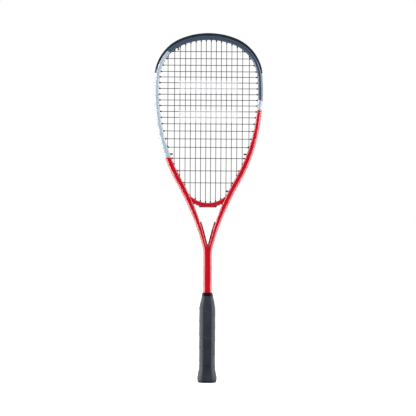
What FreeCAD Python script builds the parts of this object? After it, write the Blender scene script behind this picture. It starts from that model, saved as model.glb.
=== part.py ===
import FreeCAD, Part
import math
import os

from FreeCAD import Vector

# A squash racket standing on its butt end: +Z runs up the shaft to the head, X is the width, Y the depth.
# The origin is the centre of the butt's flat end, and the strings lie in the plane Y = 0.

doc = FreeCAD.newDocument("SquashRacket")

# Driving dimensions in millimetres and degrees.
dimensions = [
    ("frameTop", 683.0, "top of the bare tube"),
    ("crownRadius", 142.8, "hoop outline: crown arc"),
    ("crownTurn", 21.5, ""),
    ("shoulderRadius", 84.5, "hoop outline: shoulder arc"),
    ("shoulderTurn", 63.5, ""),
    ("sideRadius", 358.0, "hoop outline: long side arc"),
    ("sideTurn", 34.5, ""),
    ("lowerRadius", 492.0, "outline from the hoop into the arms, curving the other way"),
    ("lowerTurn", 16.1, ""),
    ("shaftHalfWidth", 8.7, ""),
    ("shaftEnd", 8.0, "lowest point of the tube, inside the handle"),
    ("frameDepth", 19.5, ""),
    ("tubeWidth", 9.5, "tube width across the hoop"),
    ("tubeWall", 1.3, ""),
    ("tubeRound", 3.9, "rounding of the tube's edges"),
    ("webThickness", 1.6, "wall between the two legs of the tube in the shaft"),
    ("throatLowerRadius", 470.0, "inner side of the arms"),
    ("crotchRadius", 3.0, "round bottom of the V between the arms"),
    ("grooveWidth", 5.4, "string groove round the outside of the hoop"),
    ("grooveDepth", 2.2, ""),
    ("grooveEnd", 338.0, "height where the groove runs out"),
    ("stripThickness", 1.0, "base of the grommet strips"),
    ("stripWidth", 5.2, ""),
    ("channelWidth", 3.4, "string channel through the bumper"),
    ("bumperEnd", 608.0, "height of the bumper's two ends"),
    ("bumperLift", 2.2, "extra thickness at the crown"),
    ("bumperGrow", 0.8, "thickness everywhere"),
    ("bumperDepth", 11.6, ""),
    ("bumperRound", 2.0, ""),
    ("bridgeTop", 353.0, "lowest point of the head opening"),
    ("bridgeRadius", 50.0, "curve of the bridge's upper face"),
    ("bridgeThickness", 8.4, ""),
    ("bridgeDepth", 16.0, ""),
    ("bridgeRound", 2.6, ""),
    ("bridgeWall", 1.4, ""),
    ("bridgeGroove", 1.6, "depth of the groove under the bridge"),
    ("bridgeHalf", 43.7, "half width of the bar before it is cut to the arms"),
    ("bridgeGrooveHalf", 30.0, ""),
    ("bridgeStripHalf", 28.0, ""),
    ("coreHalf", 27.0, "half width of the foam core"),
    ("yokeThickness", 2.4, "liner inside the two arms"),
    ("yokeTop", 316.0, ""),
    ("yokeDepth", 12.0, ""),
    ("stringSize", 1.25, "string diameter"),
    ("stringRise", 0.635, "how far a string's centre stands off the middle plane at a crossing"),
    ("holeStagger", 0.9, "main holes sit behind the middle plane by this, cross holes before it"),
    ("barrelSize", 2.8, "grommet barrel diameter"),
    ("barrelBore", 1.6, ""),
    ("slantLimit", 38.0, "a hole follows its string up to this far from square"),
    ("barrelReach", 3.2, "how far a barrel stands in from the tube"),
    ("barrelShort", 0.9, "the same for a barrel whose string leaves at a slant"),
    ("reachStart", 0.7, "how deep a slanting barrel starts inside the tube's wall"),
    ("gripThickness", 1.8, ""),
    ("gripStart", 3.4, "height where the grip tape starts above the butt"),
    ("gripTop", 175.5, ""),
    ("capWall", 1.4, ""),
    ("capTop", 34.0, "top of the cap's skirt, under the grip"),
    ("palletTop", 163.0, ""),
    ("tapeThickness", 0.35, ""),
    ("tapeLow", 170.5, ""),
    ("tapeTop", 176.8, ""),
    ("plugLength", 14.0, ""),
    ("stapleWire", 0.9, ""),
    ("stapleSpan", 9.0, ""),
    ("stapleLeg", 2.6, ""),
    ("stapleHeight", 22.0, "height of the staples above the butt"),
    ("tackHeight", 10.0, "height of the grip's tack above the butt"),
    ("tackSink", 1.5, "how far under the grip's surface the tack's head starts"),
    ("tackLength", 3.1, ""),
    ("tackShank", 1.0, ""),
    ("tackHead", 4.0, ""),
    ("tackHeadThickness", 0.6, ""),
]
# String pattern: distances of the mains from the centreline, and heights of the crosses from the top down.
mainOffsets = [4.8, 14.9, 24.9, 35.2, 45.4, 56.0, 66.8, 79.8]
crossHeights = [650.0, 636.1, 623.1, 610.7, 599.9, 588.7, 577.3, 565.9, 554.7, 543.7,
                532.2, 520.6, 508.0, 493.9, 478.5, 462.0, 440.3, 415.9, 392.3]

# Outside of the grip from the butt up: height, width, depth and the leg of the corner bevels.
gripStations = [(3.4, 37.2, 31.6, 8.2), (8.5, 38.9, 33.2, 8.5), (12.0, 38.6, 33.0, 8.5),
                (17.0, 36.6, 31.4, 8.1), (24.0, 34.0, 29.0, 7.5), (31.0, 31.9, 27.0, 7.0),
                (34.0, 31.9, 27.0, 7.0), (100.0, 32.3, 27.2, 7.1), (147.0, 32.1, 27.2, 7.0),
                (163.0, 25.8, 25.2, 5.6), (170.5, 22.2, 23.6, 4.2), (176.8, 19.2, 21.4, 3.2)]
# Bare end of the butt cap, from the flat end face up to where the grip starts.
capStations = [(0.0, 27.0, 22.0, 6.2), (1.2, 34.4, 28.8, 7.6), (3.4, 37.2, 31.6, 8.2)]


def makeSheet():
    sheet = doc.addObject("Spreadsheet::Sheet", "Dimensions")
    for row, (name, value, note) in enumerate(dimensions, start=1):
        sheet.set("A%d" % row, name)
        sheet.set("B%d" % row, str(value))
        sheet.set("C%d" % row, note)
        sheet.setAlias("B%d" % row, name)
    doc.recompute()
    return sheet


sheet = makeSheet()


def size(name):
    return float(sheet.get(name))


# Outlines. A heading is measured clockwise from +X, so the right-hand normal points into the hoop.

def inward(heading):
    return Vector(-math.sin(heading), -math.cos(heading), 0)


# The right half of the racket's outline, as (centre, signed radius, first heading, last heading).
def outlineTurns():
    turns = [(size("crownRadius"), size("crownTurn")), (size("shoulderRadius"), size("shoulderTurn")),
             (size("sideRadius"), size("sideTurn")), (-size("lowerRadius"), -size("lowerTurn"))]
    point = Vector(0, size("frameTop"), 0)
    heading = 0.0
    found = []
    for radius, turn in turns:
        centre = point + inward(heading) * radius
        last = heading + math.radians(turn)
        found.append((centre, radius, heading, last))
        heading = last
        point = centre - inward(heading) * radius
    # A last arc brings the outline upright at the shaft's half width.
    rest = math.pi / 2 - heading
    radius = (point.x - size("shaftHalfWidth")) / (1 - math.cos(rest))
    centre = point - inward(heading) * radius
    found.append((centre, -radius, heading, math.pi / 2))
    return found


turns = outlineTurns()


# The point of an arc at a heading, moved inwards by the inset.
def arcPoint(turn, heading, inset):
    centre, radius = turn[0], turn[1]
    return centre - inward(heading) * (radius - inset)


def arcEdge(turn, inset, lift):
    centre, radius, first, last = turn
    up = Vector(0, lift, 0)
    middle = (first + last) / 2
    ends = [arcPoint(turn, heading, inset) + up for heading in (first, middle, last)]
    return Part.Arc(ends[0], ends[1], ends[2])


def mirrored(edge):
    first, middle, last = (edge.value(edge.FirstParameter),
                           edge.value((edge.FirstParameter + edge.LastParameter) / 2),
                           edge.value(edge.LastParameter))
    flip = [Vector(-p.x, p.y, 0) for p in (first, middle, last)]
    return Part.Arc(flip[0], flip[1], flip[2])


# The closed outer outline with its shaft, inset from the tube's outer surface.
def outerOutline(inset, bottom, lift=0.0):
    right = [arcEdge(turn, inset, lift) for turn in turns]
    half = size("shaftHalfWidth") - inset
    low = arcPoint(turns[-1], math.pi / 2, inset).y + lift
    corners = [Vector(half, low, 0), Vector(half, bottom, 0),
               Vector(-half, bottom, 0), Vector(-half, low, 0)]
    lines = [Part.LineSegment(corners[i], corners[i + 1]) for i in range(3)]
    return right + lines + [mirrored(edge) for edge in right]


# The right half of the tube's inner side, as (arc, inset): head, then arms down to the bottom of the V.
def innerTurns():
    found = [(turn, size("tubeWidth")) for turn in turns[:3]]
    heading = turns[2][3]
    start = arcPoint(turns[2], heading, size("tubeWidth"))
    radius = size("throatLowerRadius")
    centre = start - inward(heading) * radius
    last = math.pi - math.asin(centre.x / (radius + size("crotchRadius")))
    found.append(((centre, -radius, heading, last), 0.0))
    return found


# The closed inner outline, moved out of the opening by the shift.
def innerOutline(shift):
    inner = innerTurns()
    right = [arcEdge(turn, inset - shift, 0) for turn, inset in inner]
    centre, radius, first, last = inner[-1][0]
    middle = centre + inward(last) * (size("crotchRadius") - radius)
    crotch = size("crotchRadius") + shift
    corner = middle - inward(last) * crotch
    left = Vector(-corner.x, corner.y, 0)
    bottom = Part.Arc(corner, middle - Vector(0, crotch, 0), left)
    return right + [bottom] + [mirrored(edge) for edge in right]


# Document helpers.

def newBody(name):
    body = doc.addObject("PartDesign::Body", name)
    body.Label = name
    return body


def newSketch(body, plane, name, edges, height=0.0):
    sketch = body.newObject("Sketcher::SketchObject", name)
    support = [feature for feature in body.Origin.OriginFeatures if feature.Role == plane][0]
    sketch.AttachmentSupport = [(support, "")]
    sketch.MapMode = "FlatFace"
    sketch.AttachmentOffset = FreeCAD.Placement(Vector(0, 0, height), FreeCAD.Rotation())
    for edge in edges:
        sketch.addGeometry(edge, False)
    return sketch


def pad(body, name, edges, depth, plane="XZ_Plane"):
    sketch = newSketch(body, plane, name + "Sketch", edges)
    feature = body.newObject("PartDesign::Pad", name)
    feature.Profile = sketch
    feature.SideType = "Symmetric"
    feature.setExpression("Length", depth)
    doc.recompute()
    return feature


# Edges that lie on the front and back faces of a pad of this depth, above a height.
def rimEdges(shape, depth, lowest):
    names = []
    for number, edge in enumerate(shape.Edges, start=1):
        box = edge.BoundBox
        if box.YLength < 0.01 and abs(abs(box.YMin) - depth / 2) < 0.01 and box.ZMax > lowest:
            names.append("Edge%d" % number)
    return names


def roundRims(body, base, name, depth, radius, lowest=-1e6):
    feature = body.newObject("PartDesign::Fillet", name)
    feature.Base = (base, rimEdges(base.Shape, depth, lowest))
    feature.setExpression("Radius", radius)
    doc.recompute()
    return feature


def cut(name, base, tool):
    feature = doc.addObject("Part::Cut", name)
    feature.Base = base
    feature.Tool = tool
    doc.recompute()
    return feature


def common(name, base, tool):
    feature = doc.addObject("Part::Common", name)
    feature.Base = base
    feature.Tool = tool
    doc.recompute()
    return feature


def fuse(name, shapes):
    feature = doc.addObject("Part::MultiFuse", name)
    feature.Shapes = shapes
    doc.recompute()
    return feature


def compound(name, links):
    feature = doc.addObject("Part::Compound", name)
    feature.Links = links
    doc.recompute()
    return feature


def box(name, low, high):
    feature = doc.addObject("Part::Box", name)
    feature.Length = high[0] - low[0]
    feature.Width = high[1] - low[1]
    feature.Height = high[2] - low[2]
    feature.Placement.Base = Vector(low[0], low[1], low[2])
    return feature


# A ring that follows the outline between two insets, as deep as the expression says.
def ring(name, outerInset, innerInset, depth, lift=0.0):
    body = newBody(name)
    edges = outerOutline(outerInset, size("shaftEnd") - 20, lift)
    edges += outerOutline(innerInset, size("shaftEnd") - 10)
    pad(body, name + "Pad", edges, depth)
    return body


far = 400.0


# Where the strings meet the tube.

# The place on the tube's inner side whose x or y is the wanted value: (turn number, heading, point).
def wallAt(axis, wanted, numbers):
    inner = innerTurns()
    for number in numbers:
        turn, inset = inner[number]
        low, high = turn[2], turn[3]
        ends = [getattr(arcPoint(turn, heading, inset), axis) for heading in (low, high)]
        if not min(ends) <= wanted <= max(ends):
            continue
        rising = ends[1] > ends[0]
        for step in range(40):
            middle = (low + high) / 2
            if (getattr(arcPoint(turn, middle, inset), axis) < wanted) == rising:
                low = middle
            else:
                high = middle
        return number, middle, arcPoint(turn, middle, inset)
    raise ValueError("no wall at %s %s" % (axis, wanted))


# Distance of a string's centre from the tube's outer surface, where it lies in the groove.
laid = size("grooveDepth") - size("stripThickness") - size("stringSize") / 2


# Length along the string's line in the groove up to a heading on a turn, and the reverse.
def alongGroove(number, heading):
    total = 0.0
    for centre, radius, first, last in turns[:number]:
        total += abs(radius - laid) * abs(last - first)
    centre, radius, first, last = turns[number]
    return total + abs(radius - laid) * abs(heading - first)


def grooveAt(length):
    for turn in turns:
        centre, radius, first, last = turn
        span = abs(radius - laid) * abs(last - first)
        if length <= span or turn is turns[-1]:
            heading = first + (last - first) * length / span
            return arcPoint(turn, heading, laid), heading
        length -= span


# One string hole. The string comes along the line to the wall, then goes out to the groove at the exit.
class Hole:
    def __init__(self, side, wall, exitPoint, depth, line, kind, length):
        self.side = side
        self.depth = depth
        self.kind = kind
        self.line = Vector(side * line.x, 0, line.y)
        self.wall = Vector(side * wall.x, depth, wall.y)
        self.exit = Vector(side * exitPoint.x, depth, exitPoint.y)
        self.out = (self.exit - self.wall).normalize()
        self.length = length
        self.straight = self.out.getAngle(self.line) < 0.01


# A hole through the tube: in line with its string if that is nearly square to the tube, else square to it.
def tubeHole(side, number, heading, wall, depth, line, kind):
    out = inward(heading) * -1
    if out.getAngle(line) < math.radians(size("slantLimit")):
        out = line
    centre, radius = turns[number][0], turns[number][1]
    reach = abs(radius - laid)
    toWall = wall - centre
    along = toWall.dot(out)
    root = math.sqrt(along ** 2 - toWall.dot(toWall) + reach ** 2)
    distance = root - along if radius > 0 else -along - root
    exitPoint = wall + out * distance
    square = (centre - exitPoint) * (1 / (radius - laid))
    length = alongGroove(number, math.atan2(-square.x, -square.y))
    return Hole(side, wall, exitPoint, depth, line, kind, length)


bridgeCentre = size("bridgeTop") + size("bridgeRadius")


def bridgeHeight(x, below):
    return bridgeCentre - math.sqrt((size("bridgeRadius") + below) ** 2 - x ** 2)


def bridgeHole(side, x, depth):
    wall = Vector(x, bridgeHeight(x, 0), 0)
    under = size("bridgeThickness") - size("bridgeGroove") + size("stripThickness") + size("stringSize") / 2
    exitPoint = Vector(x, bridgeHeight(x, under), 0)
    return Hole(side, wall, exitPoint, depth, Vector(0, -1, 0), "bridge", None)


stagger = size("holeStagger")
mains = []
for side, offsets in ((-1, reversed(mainOffsets)), (1, mainOffsets)):
    for x in offsets:
        top = tubeHole(side, *wallAt("x", x, (0, 1)), stagger, Vector(0, 1, 0), "bumper")
        if x < 30:
            low = bridgeHole(side, x, stagger)
        else:
            low = tubeHole(side, *wallAt("x", x, (2, 3)), stagger, Vector(0, -1, 0), "side")
        mains.append((side * x, low, top))
crosses = []
for z in crossHeights:
    kind = "bumper" if z > size("bumperEnd") else "side"
    place = wallAt("y", z, (0, 1, 2, 3))
    left = tubeHole(-1, *place, -stagger, Vector(1, 0, 0), kind)
    right = tubeHole(1, *place, -stagger, Vector(1, 0, 0), kind)
    crosses.append((z, left, right))
# Tie-off holes, one for each end of the two strings.
tieMainPlace = wallAt("y", 448.6, (2, 3))
tieMains = [tubeHole(side, *tieMainPlace, stagger, Vector(1, 0, 0), "side") for side in (-1, 1)]
tieFirst = tubeHole(-1, *wallAt("x", 61.6, (0, 1)), -stagger, Vector(1, 0, 0), "bumper")
tieLast = tubeHole(1, *wallAt("y", 376.0, (3,)), -stagger, Vector(1, 0, 0), "side")
tieHoles = tieMains + [tieFirst, tieLast]
holes = [hole for main in mains for hole in main[1:]]
holes += [hole for cross in crosses for hole in cross[1:]]
holes += tieHoles


# Points between two holes, along the groove or under the bridge.
def outsideRun(first, second):
    if first.length is None:
        return []
    if first.side != second.side:
        return [Vector(0, first.depth, grooveAt(0)[0].y)]
    gap = second.length - first.length
    count = max(1, round(abs(gap) / 7.0))
    points = []
    for step in range(1, count):
        place = grooveAt(first.length + gap * step / count)[0]
        points.append(Vector(first.side * place.x, first.depth, place.y))
    return points


rise = size("stringRise") / 0.7
nearest = 3.2


# A main or cross from one wall to the other, over and under what it crosses.
def woven(start, end, crossings):
    points = [start.wall]
    for point in crossings:
        if (point - start.wall).Length > nearest and (point - end.wall).Length > nearest:
            points.append(point)
    return points + [end.wall]


def mainRoute():
    points = tieEnd(tieMains[0], mains[0][1])
    for number, (x, low, top) in enumerate(mains):
        crossings = []
        for row, (z, left, right) in enumerate(crosses):
            if low.wall.z < z < top.wall.z and abs(x) < right.wall.x:
                side = 1 if (number + row) % 2 else -1
                crossings.append(Vector(x, side * rise, z))
        crossings.reverse()
        first, second = (low, top) if number % 2 == 0 else (top, low)
        if number % 2:
            crossings.reverse()
        points += [first.exit] + woven(first, second, crossings) + [second.exit]
        if number + 1 < len(mains):
            other = mains[number + 1][2 if number % 2 == 0 else 1]
            points += outsideRun(second, other)
    return points + tieEnd(tieMains[1], mains[-1][1])[::-1]


def crossRoute():
    points = tieEnd(tieFirst, crosses[0][1])
    for row, (z, left, right) in enumerate(crosses):
        crossings = []
        for number, (x, low, top) in enumerate(mains):
            if low.wall.z < z < top.wall.z and abs(x) < right.wall.x:
                side = -1 if (number + row) % 2 else 1
                crossings.append(Vector(x, side * rise, z))
        first, second = (left, right) if row % 2 == 0 else (right, left)
        if row % 2:
            crossings.reverse()
        points += [first.exit] + woven(first, second, crossings) + [second.exit]
        if row + 1 < len(crosses):
            other = crosses[row + 1][2 if row % 2 == 0 else 1]
            points += outsideRun(second, other)
    return points + tieEnd(tieLast, crosses[-1][2])[::-1]


# A string's end: in through a tie-off hole from the groove, as far as the knot behind its barrel.
def tieEnd(tie, neighbour):
    knot = tie.wall - tie.out * (size("barrelReach") + 1.0)
    return [knot, tie.exit] + outsideRun(tie, neighbour)


# Straight runs joined by tangent arcs, each arc using the same share of the shorter run beside it.
def tangentPath(points, share=0.3):
    edges = []
    last = points[0]
    for before, corner, after in zip(points, points[1:], points[2:]):
        back = before - corner
        ahead = after - corner
        reach = share * min(back.Length, ahead.Length)
        back.normalize()
        ahead.normalize()
        half = (math.pi - back.getAngle(ahead)) / 2
        start = corner + back * reach
        end = corner + ahead * reach
        if half > 0.002:
            radius = reach / math.tan(half)
            middle = corner + (back + ahead).normalize() * (radius / math.cos(half) - radius)
            edges.append(Part.LineSegment(last, start).toShape())
            edges.append(Part.Arc(start, middle, end).toShape())
            last = end
    edges.append(Part.LineSegment(last, points[-1]).toShape())
    return Part.Wire(edges)


def makeString(name, points):
    route = doc.addObject("Part::Feature", name + "_route")
    route.Shape = tangentPath(points)
    section = doc.addObject("Part::Circle", name + "_section")
    section.setExpression("Radius", "Dimensions.stringSize / 2")
    turn = FreeCAD.Rotation(Vector(0, 0, 1), points[1] - points[0])
    section.Placement = FreeCAD.Placement(points[0], turn)
    sweep = doc.addObject("Part::Sweep", name + "_sweep")
    sweep.Sections = [section]
    sweep.Spine = (route, ["Edge%d" % (i + 1) for i in range(len(route.Shape.Edges))])
    sweep.Solid = True
    sweep.Transition = "Transformed"
    doc.recompute()
    knots = []
    for number, end in enumerate((points[0], points[-1])):
        knot = doc.addObject("Part::Sphere", "%s_knot%d" % (name, number))
        knot.setExpression("Radius", "Dimensions.stringSize * 1.4")
        knot.Placement.Base = end
        knots.append(knot)
    whole = fuse(name, [sweep] + knots)
    area = math.pi * size("stringSize") ** 2 / 4
    print(name, "length", round(route.Shape.Length, 1), "volume", round(sweep.Shape.Volume, 1),
          "section times length", round(area * route.Shape.Length, 1))
    return whole


# Cylinder along a direction, its sizes given as expressions.
def rod(name, base, direction, radius, height):
    feature = doc.addObject("Part::Cylinder", name)
    feature.setExpression("Radius", radius)
    feature.setExpression("Height", height)
    feature.Placement = FreeCAD.Placement(base, FreeCAD.Rotation(Vector(0, 0, 1), direction))
    return feature


def ball(name, centre, radius):
    feature = doc.addObject("Part::Sphere", name)
    feature.setExpression("Radius", radius)
    feature.Placement.Base = centre
    return feature


# The barrel of each hole: through the tube, then standing in along the string. Where the string leaves at a
# slant, a second short barrel follows it. Returns the solids and the two sets of bores.
def barrels(name, kind, side=0):
    solid, bores, innerBores = [], [], []
    chosen = [hole for hole in holes if hole.kind == kind and hole.side * side >= 0]
    for number, hole in enumerate(chosen):
        label = "%s_%d" % (name, number)
        through = (hole.exit - hole.wall).Length
        back = size("barrelReach") if hole.straight else size("barrelShort")
        solid.append(rod(label, hole.wall - hole.out * back, hole.out, "Dimensions.barrelSize / 2",
                         "%f mm" % (through + back - 0.3)))
        bores.append(rod(label + "_bore", hole.wall - hole.out * (back + 1), hole.out,
                         "Dimensions.barrelBore / 2", "%f mm" % (through + back + 4)))
        if not hole.straight:
            solid.append(rod(label + "_reach", hole.wall + hole.line * size("reachStart"), hole.line * -1,
                             "Dimensions.barrelSize / 2 - 0.15",
                             "Dimensions.barrelReach + Dimensions.reachStart"))
            innerBores.append(rod(label + "_reach_bore", hole.wall + hole.line * 0.2, hole.line * -1,
                                  "Dimensions.barrelBore / 2 + 0.1", "Dimensions.barrelReach + 1"))
    inner = compound(name + "_inner_bores", innerBores) if innerBores else None
    return solid, compound(name + "_bores", bores), inner


# A band with its barrels joined on and bored for the string.
def barrelStrip(name, band, kind, side=0):
    solid, bores, innerBores = barrels(name + "_barrel", kind, side)
    whole = fuse(name + "_whole", [band] + solid)
    if innerBores is None:
        return cut(name, whole, bores)
    return cut(name, cut(name + "_bored", whole, bores), innerBores)


def makeFrame():
    body = newBody("tube_outside")
    edges = outerOutline(0, size("shaftEnd")) + innerOutline(0)
    plain = pad(body, "tubePad", edges, "Dimensions.frameDepth")
    roundRims(body, plain, "tubeRounding", size("frameDepth"), "Dimensions.tubeRound", size("shaftEnd") + 1)
    grooveRing = ring("groove_ring", -6, size("grooveDepth"), "Dimensions.grooveWidth")
    above = box("groove_reach", (-far, -far, size("grooveEnd")), (far, far, far * 2))
    grooved = cut("tube_grooved", body, common("groove", grooveRing, above))
    # The hollow keeps its wall behind the groove and on both sides of the web in the shaft.
    hollow = newBody("hollow")
    wall = size("tubeWall")
    edges = outerOutline(wall, size("shaftEnd") - 10) + innerOutline(wall)
    inside = pad(hollow, "hollowPad", edges, "Dimensions.frameDepth - 2 * Dimensions.tubeWall")
    roundRims(hollow, inside, "hollowRounding", size("frameDepth") - 2 * wall,
              "Dimensions.tubeRound - Dimensions.tubeWall", size("shaftEnd") - 9)
    behind = ring("behind_groove_ring", -2, size("grooveDepth") + wall,
                  "Dimensions.grooveWidth + 2 * Dimensions.tubeWall")
    behindAbove = box("behind_groove_reach", (-far, -far, size("grooveEnd") - wall), (far, far, far * 2))
    web = box("web", (-size("webThickness") / 2, -far, -far), (size("webThickness") / 2, far, 300))
    behindGroove = common("behind_groove", behindAbove, behind)
    cells = cut("cells", cut("hollow_behind_groove", hollow, behindGroove), web)
    tube = cut("tube_hollow", grooved, cells)
    drills = []
    for number, hole in enumerate(holes):
        if hole.kind == "bridge":
            continue
        drills.append(rod("drill_%d" % number, hole.wall - hole.out * 3, hole.out,
                          "Dimensions.barrelSize / 2 + 0.05", "Dimensions.tubeWidth + 6"))
    drilled = compound("drilled_holes", drills)
    return body, grooved, cut("frame_tube", tube, drilled), drilled


# A bent bar between two concentric arcs about the bridge's centre, cut off at both ends.
def bridgeBar(name, above, below, depth, halfWidth):
    body = newBody(name)
    centre = Vector(0, bridgeCentre, 0)
    edges = []
    ends = []
    for offset in (above, below):
        radius = size("bridgeRadius") + offset
        low = Vector(0, bridgeCentre - radius, 0)
        height = bridgeCentre - math.sqrt(radius ** 2 - halfWidth ** 2)
        left, right = Vector(-halfWidth, height, 0), Vector(halfWidth, height, 0)
        edges.append(Part.Arc(left, low, right))
        ends.append((left, right))
    edges.append(Part.LineSegment(ends[0][0], ends[1][0]))
    edges.append(Part.LineSegment(ends[0][1], ends[1][1]))
    pad(body, name + "Pad", edges, depth)
    return body


def makeBridge(tube, drilled):
    bar = bridgeBar("bridge_bar", 0, size("bridgeThickness"), "Dimensions.bridgeDepth", size("bridgeHalf"))
    roundRims(bar, bar.Tip, "bridgeRounding", size("bridgeDepth"), "Dimensions.bridgeRound")
    fitted = cut("bridge_fitted", bar, tube)
    grooveBar = bridgeBar("bridge_groove", size("bridgeThickness") - size("bridgeGroove"),
                          size("bridgeThickness") + 4, "Dimensions.grooveWidth", size("bridgeGrooveHalf"))
    core = bridgeBar("bridge_core_bar", size("bridgeWall"),
                     size("bridgeThickness") - size("bridgeGroove") - size("bridgeWall"),
                     "Dimensions.bridgeDepth - 2 * Dimensions.bridgeWall", size("coreHalf"))
    drills = []
    for number, hole in enumerate(holes):
        if hole.kind == "bridge":
            drills.append(rod("bridge_drill_%d" % number, hole.wall + Vector(0, 0, 3), hole.out,
                              "Dimensions.barrelSize / 2 + 0.05", "Dimensions.bridgeThickness + 6"))
    bridgeHoles = compound("bridge_holes", drills)
    grooved = cut("bridge_grooved", cut("bridge_side_drilled", fitted, drilled), grooveBar)
    cored = cut("bridge_cored", grooved, core)
    return cut("throat_bridge", cored, bridgeHoles), cut("bridge_foam_core", core, bridgeHoles)


def makeYoke():
    body = newBody("yoke_liner")
    thick = size("yokeThickness")
    pad(body, "yokePad", innerOutline(-0.01) + innerOutline(-thick), "Dimensions.yokeDepth")
    below = box("yoke_reach", (-far, -far, 200), (far, far, size("yokeTop")))
    return common("throat_yoke", body, below)


def makeStrips():
    base = ring("strip_ring", size("grooveDepth") - size("stripThickness"), size("grooveDepth"),
                "Dimensions.stripWidth")
    strips = []
    for side, name in ((-1, "side_grommet_strip_left"), (1, "side_grommet_strip_right")):
        low = min(0, side * far)
        reach = box(name + "_reach", (low, -far, size("grooveEnd") + 6),
                    (low + far, far, size("bumperEnd") - 0.3))
        band = common(name + "_band", base, reach)
        strips.append(barrelStrip(name, band, "side", side))
    return strips


def makeBumper():
    grow, lift = size("bumperGrow"), size("bumperLift")
    body = newBody("bumper_block")
    block = pad(body, "bumperPad", outerOutline(-grow, size("shaftEnd"), lift), "Dimensions.bumperDepth")
    roundRims(body, block, "bumperRounding", size("bumperDepth"), "Dimensions.bumperRound",
              size("shaftEnd") + 1)
    hoopSpace = newBody("hoop_space")
    pad(hoopSpace, "hoopSpacePad", outerOutline(0, size("shaftEnd")), "Dimensions.frameDepth")
    tongue = ring("bumper_tongue", -size("bumperGrow") / 2, size("grooveDepth"), "Dimensions.stripWidth")
    whole = fuse("bumper_ring", [cut("bumper_rim", body, hoopSpace), tongue])
    above = box("bumper_reach", (-far, -far, size("bumperEnd")), (far, far, far * 2))
    shell = common("bumper_head", whole, above)
    channelRing = ring("channel_ring", -9, size("grooveDepth") - size("stripThickness"),
                       "Dimensions.channelWidth")
    channelled = cut("bumper_channelled", shell, channelRing)
    return barrelStrip("bumper_guard", channelled, "bumper")


def makeBridgeStrip():
    top = size("bridgeThickness") - size("bridgeGroove")
    band = bridgeBar("bridge_strip_band", top, top + size("stripThickness"), "Dimensions.stripWidth",
                     size("bridgeStripHalf"))
    return barrelStrip("bridge_grommet_strip", band, "bridge")


# Eight-sided handle sections.

def octagon(width, depth, bevel):
    x, y = width / 2, depth / 2
    corners = [(x, bevel - y), (x, y - bevel), (x - bevel, y), (bevel - x, y),
               (-x, y - bevel), (-x, bevel - y), (bevel - x, -y), (x - bevel, -y)]
    points = [Vector(a, b, 0) for a, b in corners]
    return [Part.LineSegment(points[i], points[(i + 1) % 8]) for i in range(8)]


# The stations moved in by a thickness, between two heights; sections at the two ends are interpolated.
def stationsBetween(stations, low, high, inset):
    def at(z):
        for before, after in zip(stations, stations[1:]):
            if before[0] <= z <= after[0]:
                share = (z - before[0]) / (after[0] - before[0])
                return tuple(a + (b - a) * share for a, b in zip(before, after))
        return stations[0] if z < stations[0][0] else stations[-1]
    heights = [low] + [station[0] for station in stations if low < station[0] < high] + [high]
    found = []
    for z in heights:
        station = at(z)
        bevel = station[3] - inset * (2 - math.sqrt(2))
        found.append((z, station[1] - 2 * inset, station[2] - 2 * inset, bevel))
    return found


def loft(name, stations):
    body = newBody(name)
    sketches = [newSketch(body, "XY_Plane", "%s_section%d" % (name, i), octagon(*station[1:]), station[0])
                for i, station in enumerate(stations)]
    feature = body.newObject("PartDesign::AdditiveLoft", name + "_loft")
    feature.Profile = sketches[0]
    feature.Sections = sketches[1:]
    feature.Ruled = True
    doc.recompute()
    return body


def makeHandle():
    thick = size("gripThickness")
    wall = size("capWall")
    start, capTop, palletTop = size("gripStart"), size("capTop"), size("palletTop")
    # Butt cap: a closed end, and a skirt under the grip.
    end = loft("cap_end", capStations)
    skirt = loft("cap_skirt", stationsBetween(gripStations, start, capTop, thick))
    pocket = loft("cap_pocket", stationsBetween(gripStations, start, capTop + 1, thick + wall))
    staples = makeStaples()
    cap = cut("cap_hollow", fuse("cap_whole", [end, skirt]), pocket)
    # Pallets: two shells round the tube, stepped in where the cap covers them.
    low = loft("pallet_low", stationsBetween(gripStations, start, capTop, thick + wall))
    high = loft("pallet_high", stationsBetween(gripStations, capTop, palletTop, thick))
    pallet = cut("pallet", fuse("pallet_whole", [low, high]), solidTube())
    halves = []
    for side, name in ((-1, "pallet_half_front"), (1, "pallet_half_back")):
        edge = min(0, side * far)
        reach = box(name + "_reach", (-far, edge, -far), (far, edge + far, far))
        halves.append(cut(name, common(name + "_side", pallet, reach), staples))
    # Grip: a sleeve over cap and pallets, closing on the tube at its top.
    top = size("gripTop")
    sleeve = loft("grip_outside", stationsBetween(gripStations, start, top, 0.0))
    tape = size("tapeThickness")
    under = loft("grip_inside", stationsBetween(gripStations, start - 0.5, palletTop, thick))
    tapeLow = size("tapeLow")
    slimmed = loft("tape_inside", stationsBetween(gripStations, tapeLow, size("tapeTop") + 1, tape))
    tapeBlock = loft("tape_outside", stationsBetween(gripStations, tapeLow, size("tapeTop"), 0.0))
    grip = cut("grip_clear", cut("grip_sleeve", cut("grip_hollow", sleeve, under), solidTube()), tack())
    band = cut("finishing_band", tapeBlock, slimmed)
    gripWrap = cut("grip_wrap", grip, band)
    finishing = cut("finishing_tape", band, solidTube())
    capDone = cut("butt_cap", cut("cap_stapled", cap, staples), tack())
    return halves, capDone, gripWrap, finishing


# The shaft's outside as one solid, which the handle's pieces are cut to.
shaftSolid = []


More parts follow.
